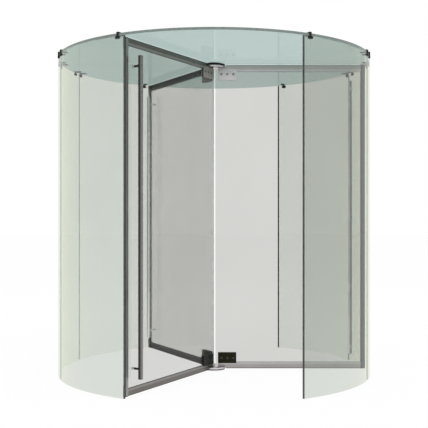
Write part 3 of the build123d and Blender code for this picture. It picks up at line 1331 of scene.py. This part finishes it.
@dataclass
class HubAndBearings:
    """The canopy's bearing, the floor plate and the rotor's two discs, all turned."""

    sizes: DoorSizes
    edge: float = 0.0012
    disc_thick: float = 0.012
    plate_thick: float = 0.005
    flange_thick: float = 0.005
    neck_radius: float = 0.038
    cap_radius: float = 0.056
    pin_radius: float = 0.015
    stud_radius: float = 0.007
    seat_gap: float = 0.0002
    pin_edge: float = 0.001
    near_share: float = 0.3

    def rim(self, low: float, high: float, radius: float) -> list[Point2]:
        """Profile of a disc's rounded rim, from its foot to its top.

        Args:
            low: Its foot's height.
            high: Its top's height.
            radius: Its radius.

        Returns:
            The profile's corners.
        """
        edge, near = self.edge, self.edge * self.near_share
        return [
            (radius - edge, low),
            (radius - near, low + near),
            (radius, low + edge),
            (radius, high - edge),
            (radius - near, high - near),
            (radius - edge, high),
        ]

    def pin(self, low: float, high: float, radius: float) -> list[Point2]:
        """Profile of an upright pin with a small chamfer on its top.

        Args:
            low: Its foot's height.
            high: Its top's height.
            radius: Its radius.

        Returns:
            The profile's corners, up to the axis.
        """
        edge = self.pin_edge
        return [(radius, low), (radius, high - edge), (radius - edge, high), (0.0, high)]

    def build(self, bearing: bpy.types.Material, turned_metal: bpy.types.Material) -> None:
        """Make the four turned pieces.

        Args:
            bearing: The canopy bearing's finish.
            turned_metal: The finish of the discs and the floor plate.
        """
        low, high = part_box("hub_bottom_disc")
        top = low.z + self.disc_thick
        stud = self.pin(top, high.z, self.stud_radius)
        disc = [(0.0, low.z), *self.rim(low.z, top, high.x), *stud]
        self.piece("hub_bottom_disc", disc, turned_metal, Body.ROTOR, "hub_metal")
        low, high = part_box("hub_top_disc")
        disc = [(0.0, low.z), *self.rim(low.z, high.z, high.x), (0.0, high.z)]
        self.piece("hub_top_disc", disc, turned_metal, Body.ROTOR, "hub_metal")
        low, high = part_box("floor_bearing")
        top = low.z + self.plate_thick
        pin = self.pin(top, high.z, self.pin_radius)
        plate = [(0.0, low.z), *self.rim(low.z, top, high.x), *pin]
        self.piece("floor_bearing", plate, turned_metal, Body.DRUM, "hub_metal")
        self.piece("canopy_bearing", self.bearing_profile(), bearing, Body.DRUM, "bearing_paint")

    def bearing_profile(self) -> list[Point2]:
        """Profile of the canopy bearing: pin, flange, neck through the glass, and cap.

        Returns:
            The profile's corners.
        """
        low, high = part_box("canopy_bearing")
        under, over = self.sizes.wall_top, self.sizes.canopy_top
        flange = under - self.flange_thick
        return [
            (0.0, low.z),
            (self.pin_radius - self.pin_edge, low.z),
            (self.pin_radius, low.z + self.pin_edge),
            (self.pin_radius, flange),
            *self.rim(flange, under - self.seat_gap, high.x),
            (self.neck_radius, under - self.seat_gap),
            (self.neck_radius, over + self.seat_gap),
            *self.rim(over + self.seat_gap, high.z, self.cap_radius),
            (0.0, high.z),
        ]

    def piece(
        self,
        node: str,
        profile: list[Point2],
        metal: bpy.types.Material,
        body: Body,
        slot: str,
    ) -> None:
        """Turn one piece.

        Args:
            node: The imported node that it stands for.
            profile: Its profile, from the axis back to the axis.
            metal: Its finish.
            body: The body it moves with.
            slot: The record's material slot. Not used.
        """
        made_object(f"turned_{node}", turned(profile), metal, body, [node])


# ---------------------------------------------------------------- wings


@dataclass
class WingAssembly:
    """One glass wing with its rails, stile, corner blocks, brushes, patches and pull handle."""

    wing: Wing
    sizes: DoorSizes
    patch_in: float = 0.0285
    patch_out: float = 0.1595
    patch_half: float = 0.011
    rail_half: float = 0.008
    seat_gap: float = 0.0001
    screw: HexScrew = HexScrew(0.0075, 0.0018, 0.0034)
    screws: int = 3
    screw_first: float = 0.053
    screw_pitch: float = 0.0425
    screw_inset: float = 0.040
    edge: float = 0.0010
    patch_smooth: float = 0.5
    handle_at: float = 0.984
    handle_offset: float = 0.052
    handle_radius: float = 0.015
    handle_round: float = 0.003
    handle_near: float = 0.0009
    handle_steps: int = 48
    handle_smooth: float = 0.6
    post_inset: float = 0.0625
    post_radius: float = 0.007
    rose_radius: float = 0.0095
    rose_thick: float = 0.003
    rose_edge: float = 0.001
    post_steps: int = 32

    def node(self, piece: str) -> str:
        """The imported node's name of one of the wing's pieces."""
        return f"wing_{self.wing.word}_{piece}"

    def build(
        self,
        patch_low: bpy.types.Material,
        patch_high: bpy.types.Material,
        screw: bpy.types.Material,
        handle: bpy.types.Material,
    ) -> None:
        """Make the wing's patches and its handle.

        Args:
            patch_low: The lower patch's finish.
            patch_high: The upper patch's finish.
            screw: The finish of the patches' screws.
            handle: The handle's finish.
        """
        self.patch(Tier.LOW, patch_low, screw)
        self.patch(Tier.HIGH, patch_high, screw)
        self.handle(handle)

    def dress(
        self,
        glass: bpy.types.Material,
        rail: bpy.types.Material,
        stile: bpy.types.Material,
        block: bpy.types.Material,
        pile: bpy.types.Material,
    ) -> None:
        """Finish the wing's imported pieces.

        Args:
            glass: The pane's finish.
            rail: The rails' finish.
            stile: The stile's finish.
            block: The corner blocks' finish.
            pile: The brush seals' finish.
        """
        dress(self.node("glass"), glass)
        dress(self.node("top_rail"), rail)
        dress(self.node("bottom_rail"), rail)
        dress(self.node("stile"), stile)
        dress(self.node("corner_blocks"), block)
        dress(self.node("brush_seals"), pile)

    def patch(
        self, tier: Tier, metal: bpy.types.Material, screw_metal: bpy.types.Material
    ) -> None:
        """Make a patch fitting: two cheeks that lap over the rail, with three screws on each.

        Args:
            tier: The lower or the upper patch.
            metal: Its finish.
            screw_metal: Its screws' finish.
        """
        name = self.node(f"{tier.place}_patch")
        low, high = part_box(name)
        rail_low, rail_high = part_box(self.node(f"{tier.place}_rail"))
        tip, root, lap = high.z, low.z, rail_high.z
        if tier is Tier.HIGH:
            tip, root, lap = low.z, high.z, rail_low.z
        face_y = self.sizes.wing_glass / 2.0 + self.seat_gap
        rail_y = self.rail_half + self.seat_gap
        whole, screws, half = bmesh.new(), bmesh.new(), self.patch_half
        section = [
            (face_y, lap), (rail_y, lap), (rail_y, root), (half, root), (half, tip), (face_y, tip)
        ]
        for facing in (-1.0, 1.0):
            cheek = bmesh.new()
            outline = outline_face(cheek, [(self.patch_in, facing * y, z) for y, z in section])
            extruded(cheek, outline, Vector((self.patch_out - self.patch_in, 0.0, 0.0)))
            bmesh.ops.recalc_face_normals(cheek, faces=cheek.faces)
            rounded(cheek, sharp_edges(cheek), self.edge)
            turn = Matrix.Rotation(-facing * QUARTER_TURN, 4, "X")
            for index in range(self.screws):
                x = self.screw_first + index * self.screw_pitch
                y = facing * (half - self.screw.height / 2.0)
                spot = Matrix.Translation((x, y, tip - tier.up * self.screw_inset))
                self.screw.add(screws, spot @ turn)
            merged(whole, cheek)
        self.placed(f"screws_{name}", screws, screw_metal, (), self.patch_smooth)
        self.placed(f"clamped_{name}", whole, metal, (name,), self.patch_smooth)

    def placed(
        self,
        name: str,
        bm: bmesh.types.BMesh,
        metal: bpy.types.Material,
        nodes: Sequence[str],
        smooth: float,
    ) -> None:
        """Turn a mesh drawn along +X to the wing's angle and make it a piece of the rotor.

        Args:
            name: The piece's name.
            bm: The finished mesh.
            metal: Its finish.
            nodes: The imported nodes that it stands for.
            smooth: The angle in radians above which an edge stays sharp.
        """
        bmesh.ops.transform(bm, matrix=turned_by(self.wing.angle), verts=bm.verts)
        made_object(name, bm, metal, Body.ROTOR, nodes, smooth)

    def tube(
        self, start: Vector, along: Vector, profile: Sequence[Point2], steps: int
    ) -> bmesh.types.BMesh:
        """Turn a profile about a line.

        Args:
            start: Where the line starts.
            along: Its direction.
            profile: Radius and distance along the line of each corner.
            steps: How many sides the turn has.

        Returns:
            The closed turned solid.
        """
        bm = turned(profile, steps)
        aim = along.to_track_quat("Z", "Y").to_matrix().to_4x4()
        bmesh.ops.transform(bm, matrix=Matrix.Translation(start) @ aim, verts=bm.verts)
        return bm

    def handle(self, metal: bpy.types.Material) -> None:
        """Make the pull handle: a long tube on two posts with a cap on the pane's far face.

        Args:
            metal: Its finish.
        """
        low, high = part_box(self.node("pull_handle"))
        x, y, length = self.handle_at, self.handle_offset, high.z - low.z
        whole = self.tube(Vector((x, y, low.z)), AXIS, self.rod(length), self.handle_steps)
        for z in (low.z + self.post_inset, high.z - self.post_inset):
            post = self.tube(
                Vector((x, y, z)), Vector((0.0, -1.0, 0.0)), self.post(), self.post_steps
            )
            merged(whole, post)
        name = self.node("pull_handle")
        self.placed(f"long_{name}", whole, metal, (name,), self.handle_smooth)

    def rod(self, length: float) -> list[Point2]:
        """Profile of the handle's tube, with its ends rounded.

        Args:
            length: The tube's length.

        Returns:
            The profile's corners.
        """
        radius, end, near = self.handle_radius, self.handle_round, self.handle_near
        half = [(0.0, 0.0), (radius - end, 0.0), (radius - near, near), (radius, end)]
        return half + [(r, length - z) for r, z in reversed(half)]

    def post(self) -> list[Point2]:
        """Profile of a handle's post, from the tube's middle to the cap on the far face.

        Returns:
            The profile's corners.
        """
        face, edge = self.sizes.wing_glass / 2.0, self.rose_edge
        near, far = self.handle_offset - face, self.handle_offset + face
        end = far + self.rose_thick
        return [
            (0.0, 0.0),
            (self.post_radius, 0.0),
            (self.post_radius, near),
            (self.post_radius, far),
            (self.rose_radius, far),
            (self.rose_radius, end - edge),
            (self.rose_radius - edge, end),
            (0.0, end),
        ]


# ---------------------------------------------------------------- studio


@dataclass(frozen=True)
class Lamp:
    """A soft square lamp: its place, its power in watts and its side in metres."""

    name: str
    place: tuple[float, float, float]
    power: float
    side: float = 3.5


@dataclass
class Studio:
    """A plain pale floor, a white surround, soft lamps and the camera."""

    lamps: tuple[Lamp, ...] = (
        Lamp("key", (3.2, -5.5, 4.6), 130.0),
        Lamp("fill", (-4.5, -4.0, 3.0), 60.0),
        Lamp("rear", (1.0, 5.5, 4.8), 70.0),
    )
    floor_half: float = 40.0
    floor_drop: float = 0.0005
    distance: float = 5.83
    eye: float = 1.096
    lens: float = 68.36
    sensor: float = 36.0
    shift: float = 0.0049
    surround: float = 0.9
    floor_colour: Colour = (0.93, 0.93, 0.93)
    floor_glow: float = 0.93
    clear_bounces: int = 64

    def build(self) -> None:
        """Make the floor, the world, the lamps and the camera."""
        self.floor()
        self.world()
        for lamp in self.lamps:
            self.hang(lamp)
        self.camera()
        scene = bpy.context.scene
        scene.view_settings.view_transform = "Standard"
        scene.cycles.transparent_max_bounces = self.clear_bounces

    def seen(self, tree: bpy.types.NodeTree) -> bpy.types.NodeSocket:
        """Socket that is 1 for rays that look at the surround, straight or through gloss.

        Args:
            tree: The node tree to add to.

        Returns:
            The mask's socket.
        """
        path = tree.nodes.new("ShaderNodeLightPath")
        mask = path.outputs["Is Camera Ray"]
        for word in ("Is Glossy Ray", "Is Transmission Ray"):
            either = tree.nodes.new("ShaderNodeMath")
            either.operation = "MAXIMUM"
            tree.links.new(mask, either.inputs[0])
            tree.links.new(path.outputs[word], either.inputs[1])
            mask = either.outputs[0]
        return mask

    def floor(self) -> None:
        """Make the floor, white where it is seen, with the door's soft shadow on it."""
        bm = bmesh.new()
        bmesh.ops.create_grid(bm, x_segments=2, y_segments=2, size=self.floor_half)
        bmesh.ops.translate(bm, verts=bm.verts, vec=(0.0, 0.0, -self.floor_drop))
        mesh = bpy.data.meshes.new("studio_floor")
        bm.to_mesh(mesh)
        bm.free()
        graph = NodeGraph("studio_floor")
        matt = graph.add("ShaderNodeBsdfDiffuse")
        graph.feed(matt.inputs["Color"], self.floor_colour)
        glow = graph.add("ShaderNodeEmission")
        glow.inputs["Strength"].default_value = 1.0
        share = graph.math("MULTIPLY", self.seen(graph.tree), self.floor_glow)
        mesh.materials.append(
            graph.finish(graph.mix_shaders(share, matt.outputs[0], glow.outputs[0]))
        )
        floor = bpy.data.objects.new("studio_floor", mesh)
        bpy.context.scene.collection.objects.link(floor)

    def world(self) -> None:
        """Make the white surround."""
        world = bpy.data.worlds.new("studio")
        bpy.context.scene.world = world
        world.use_nodes = True
        tree = world.node_tree
        tree.nodes.clear()
        output = tree.nodes.new("ShaderNodeOutputWorld")
        lit, looked = tree.nodes.new("ShaderNodeBackground"), tree.nodes.new("ShaderNodeBackground")
        for node, strength in ((lit, self.surround), (looked, 1.0)):
            node.inputs["Color"].default_value = (1.0, 1.0, 1.0, 1.0)
            node.inputs["Strength"].default_value = strength
        mix = tree.nodes.new("ShaderNodeMixShader")
        tree.links.new(self.seen(tree), mix.inputs[0])
        tree.links.new(lit.outputs[0], mix.inputs[1])
        tree.links.new(looked.outputs[0], mix.inputs[2])
        tree.links.new(mix.outputs[0], output.inputs["Surface"])

    def hang(self, lamp: Lamp) -> None:
        """Hang a soft lamp aimed at the door's middle.

        Args:
            lamp: The lamp.
        """
        data = bpy.data.lights.new(lamp.name, "AREA")
        data.shape, data.size, data.energy = "SQUARE", lamp.side, lamp.power
        hung = bpy.data.objects.new(lamp.name, data)
        hung.visible_glossy = False
        hung.visible_transmission = False
        bpy.context.scene.collection.objects.link(hung)
        hung.location = lamp.place
        aim = Vector((0.0, 0.0, self.eye)) - Vector(lamp.place)
        hung.rotation_euler = aim.to_track_quat("-Z", "Y").to_euler()

    def camera(self) -> None:
        """Place the level camera in front of the door."""
        data = bpy.data.cameras.new("camera")
        data.lens, data.sensor_width, data.shift_y = self.lens, self.sensor, self.shift
        camera = bpy.data.objects.new("camera", data)
        bpy.context.scene.collection.objects.link(camera)
        camera.location = (0.0, -self.distance, self.eye)
        camera.rotation_euler = (QUARTER_TURN, 0.0, 0.0)
        bpy.context.scene.camera = camera


# ---------------------------------------------------------------- putting it together


# Painted reflections on the handles' tubes, a dark one and a pale one.
DARK_PAINTED_REFLECTION = (0.04, 0.04, 0.04)
PALE_PAINTED_REFLECTION = (0.95, 0.95, 0.95)

# Heights in metres above which the bearing and the hub's top disc have their second tone: a painted
# highlight on the bearing's cap on the canopy, and painted shade on the disc's upper half.
CAP_HIGHLIGHT_FROM, DISC_SHADE_FROM = 2.1979, 2.1675


@dataclass(frozen=True)
class WingPaintedTones:
    """One wing's metal in painted light and shade: the same steel in the grey that the light on
    this wing gives it.

    Attributes:
        low_rail: The bottom rail's glazing part and its outer part, the outer part darker as
            painted shade.
        high_rail: The same two parts of the top rail.
        stile: The stile, its grey painted light and shade.
        low_patch: The lower patch, dark as painted shade.
        high_patch: The upper patch, lighter as painted light.
        tube: The handle's tube, its tone a painted reflection.
        painted_reflection: A painted reflection in a stripe along one side of the tube.
    """

    low_rail: tuple[Colour, Colour]
    high_rail: tuple[Colour, Colour]
    stile: Colour
    low_patch: Colour
    high_patch: Colour
    tube: Colour
    painted_reflection: PaintedTone


# Painted light and shade: each wing's steel in the grey that the light falling on that wing gives
# it.
WING_PAINTED_TONES = {
    Wing.RIGHT: WingPaintedTones(
        low_rail=((0.46, 0.45, 0.45), (0.36, 0.34, 0.335)),
        high_rail=((0.66, 0.64, 0.64), (0.50, 0.475, 0.465)),
        stile=(0.045, 0.045, 0.045),
        low_patch=(0.014, 0.013, 0.005),
        high_patch=(0.68, 0.64, 0.66),
        tube=PALE_PAINTED_REFLECTION,
        painted_reflection=PaintedTone(
            DARK_PAINTED_REFLECTION, Where.TOWARDS, limit=0.912, angle=math.radians(-66.0), soft=0.01
        ),
    ),
    Wing.BACK: WingPaintedTones(
        low_rail=((0.022, 0.022, 0.022), (0.016, 0.016, 0.016)),
        high_rail=((0.03, 0.03, 0.03), (0.012, 0.012, 0.012)),
        stile=(0.09, 0.09, 0.09),
        low_patch=(0.03, 0.032, 0.028),
        high_patch=(0.12, 0.12, 0.12),
        tube=PALE_PAINTED_REFLECTION,
        painted_reflection=PaintedTone(
            DARK_PAINTED_REFLECTION, Where.TOWARDS, limit=0.972, angle=math.radians(-125.0), soft=0.01
        ),
    ),
    Wing.FRONT: WingPaintedTones(
        low_rail=((0.26, 0.25, 0.24), (0.17, 0.16, 0.15)),
        high_rail=((0.30, 0.285, 0.27), (0.165, 0.155, 0.145)),
        stile=(0.30, 0.30, 0.30),
        low_patch=(0.03, 0.032, 0.028),
        high_patch=(0.30, 0.285, 0.27),
        tube=DARK_PAINTED_REFLECTION,
        painted_reflection=PaintedTone((0.28, 0.2716, 0.266), Where.TOWARDS, limit=0.2, soft=0.6),
    ),
}


@dataclass(frozen=True)
class Palette:
    """The finishes, several in painted light and shade, and the height of a rail's glazing part in
    metres.
    """

    glazing: float = 0.015
    wall: GlassFinish = GlassFinish(
        "wall_glass",
        GlassForm.CURVED,
        through=(0.938, 0.951, 0.932),
        edge=(0.040, 0.048, 0.038),
        low_angle=(1.06, 1.06, 0.98),
        coat=(0.702, 0.726, 0.704),
        straight_on=0.11,
        grazing=1.0,
        steepness=7.0,
        fade=0.012,
        free_from=0.7,
        end_from=0.9565,
    )
    canopy: GlassFinish = GlassFinish(
        "canopy_glass",
        GlassForm.LEVEL,
        through=(0.700, 0.779, 0.763),
        edge=(0.16, 0.20, 0.185),
        grazing=0.28,
        free_from=1.08,
    )
    clamp: MetalFinish = MetalFinish(
        "clamp_steel", (0.016, 0.016, 0.016), Grain.ROUND, rough=0.5, metallic=0.0, shine=0.15
    )
    bearing: MetalFinish = MetalFinish(
        "bearing_black",
        (0.012, 0.012, 0.012),
        Grain.ROUND,
        rough=0.5,
        metallic=0.0,
        # The cap's pale grey is a painted highlight.
        second=(PaintedTone((0.45, 0.45, 0.45), Where.ABOVE, CAP_HIGHLIGHT_FROM),),
        shine=0.15,
    )
    hub: MetalFinish = MetalFinish(
        "hub_steel",
        (0.62, 0.60, 0.61),
        Grain.ROUND,
        rough=0.26,
        # Painted shade: the level faces darker than the sides, and the top disc's upper half near
        # black.
        second=(
            PaintedTone((0.40, 0.385, 0.39), Where.LEVEL, limit=0.7, soft=0.05),
            PaintedTone((0.02, 0.02, 0.02), Where.ABOVE, DISC_SHADE_FROM),
        ),
    )
    screw: MetalFinish = MetalFinish(
        "screw_steel", (0.06, 0.06, 0.06), Grain.ROUND, rough=0.4, metallic=0.5, shine=0.3
    )
    sealant: SoftFinish = SoftFinish(
        "joint_sealant",
        (0.42, 0.46, 0.41),
        rough=0.35,
        stretch=(1.0, 1.0, 0.2),
        scale=30.0,
        depth=0.1,
        clear=0.5,
    )
    seam: SoftFinish = SoftFinish(
        "seam_sealant",
        (0.50, 0.54, 0.52),
        rough=0.35,
        stretch=(0.2, 1.0, 1.0),
        scale=30.0,
        depth=0.1,
        clear=0.98,
        through=(0.99, 0.995, 0.99),
    )
    block: SoftFinish = SoftFinish(
        "corner_block",
        (0.04, 0.04, 0.04),
        rough=0.5,
        stretch=(1.0, 1.0, 1.0),
        scale=900.0,
        depth=0.12,
    )

    def wing_glass(self, wing: Wing) -> GlassFinish:
        """Clear glass for one wing's pane."""
        return GlassFinish(
            f"wing_glass_{wing.word}",
            GlassForm.UPRIGHT,
            through=(0.812, 0.812, 0.800),
            edge=(0.78, 0.81, 0.78),
            low_angle=(1.18, 1.19, 1.205),
            grazing=0.8,
            angle=wing.angle,
        )

    def rail(self, wing: Wing) -> MetalFinish:
        """Steel brushed along one wing's rails, in that wing's painted light and shade, and lighter
        on their glazing parts as painted light.

        Args:
            wing: The wing.

        Returns:
            The finish of both rails.
        """
        tones = WING_PAINTED_TONES[wing]
        (low_glazing_lit, low_outer_shaded), (high_glazing_lit, high_outer_shaded) = tones.low_rail, tones.high_rail
        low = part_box(f"wing_{wing.word}_bottom_rail")[1].z
        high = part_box(f"wing_{wing.word}_top_rail")[0].z
        # Painted light: the rails' outer parts darker than their glazing parts, as light falls on
        # them.
        second = (
            PaintedTone(low_outer_shaded, Where.BELOW, low - self.glazing),
            PaintedTone(high_glazing_lit, Where.ABOVE, (low + high) / 2.0),
            PaintedTone(high_outer_shaded, Where.ABOVE, high + self.glazing),
        )
        return MetalFinish(
            f"rail_steel_{wing.word}", low_glazing_lit, Grain.ALONG_WING, wing.angle, second=second
        )

    def stile(self, wing: Wing) -> MetalFinish:
        """Steel brushed up one wing's stile, its grey that wing's painted light and shade."""
        return MetalFinish(
            f"stile_steel_{wing.word}", WING_PAINTED_TONES[wing].stile, Grain.UPRIGHT, wing.angle
        )

    def handle(self, wing: Wing) -> MetalFinish:
        """Satin tube of one wing's pull handle, its tone and the stripe along one side painted
        reflections.
        """
        tones = WING_PAINTED_TONES[wing]
        return MetalFinish(
            f"handle_steel_{wing.word}",
            tones.tube,
            Grain.ROUND_TUBE,
            wing.angle,
            rough=0.25,
            second=(tones.painted_reflection,),
        )

    def patch(self, wing: Wing, tier: Tier) -> MetalFinish:
        """Satin plates of one wing's patch, the lower patch dark as painted shade and the upper
        lighter as painted light.

        Args:
            wing: The wing.
            tier: The lower or the upper patch.

        Returns:
            The patch's finish.
        """
        tones = WING_PAINTED_TONES[wing]
        return MetalFinish(
            f"patch_{tier.word}_{wing.word}",
            tones.low_patch if tier is Tier.LOW else tones.high_patch,
            Grain.ALONG_WING,
            wing.angle,
            rough=0.4,
            metallic=0.4,
            shine=0.15,
        )

    def pile(self, wing: Wing) -> SoftFinish:
        """Dense black pile of one wing's brush seals."""
        return SoftFinish(
            f"brush_pile_{wing.word}",
            (0.05, 0.05, 0.05),
            rough=0.85,
            stretch=(1.0, 1.0, 1.0),
            scale=700.0,
            depth=0.35,
            angle=wing.angle,
            sheen=0.3,
        )


def main() -> None:
    """Build and dress the whole door, then the studio round it."""
    logging.basicConfig(level=logging.INFO, format="%(message)s")
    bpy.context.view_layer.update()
    sizes, palette = DoorSizes(), Palette()
    sealant = palette.sealant.build()
    walls = SideWalls(sizes)
    walls.build(palette.wall.build())
    walls.dress(sealant)
    Canopy(sizes).build(palette.canopy.build(), palette.seam.build())
    RimClamps(sizes).build(palette.clamp.build())
    HubAndBearings(sizes).build(palette.bearing.build(), palette.hub.build())
    block, screw = palette.block.build(), palette.screw.build()
    for wing in Wing:
        assembly = WingAssembly(wing, sizes)
        assembly.build(
            palette.patch(wing, Tier.LOW).build(),
            palette.patch(wing, Tier.HIGH).build(),
            screw,
            palette.handle(wing).build(),
        )
        assembly.dress(
            palette.wing_glass(wing).build(),
            palette.rail(wing).build(),
            palette.stile(wing).build(),
            block,
            palette.pile(wing).build(),
        )
    Studio().build()


if __name__ == "__main__":
    main()
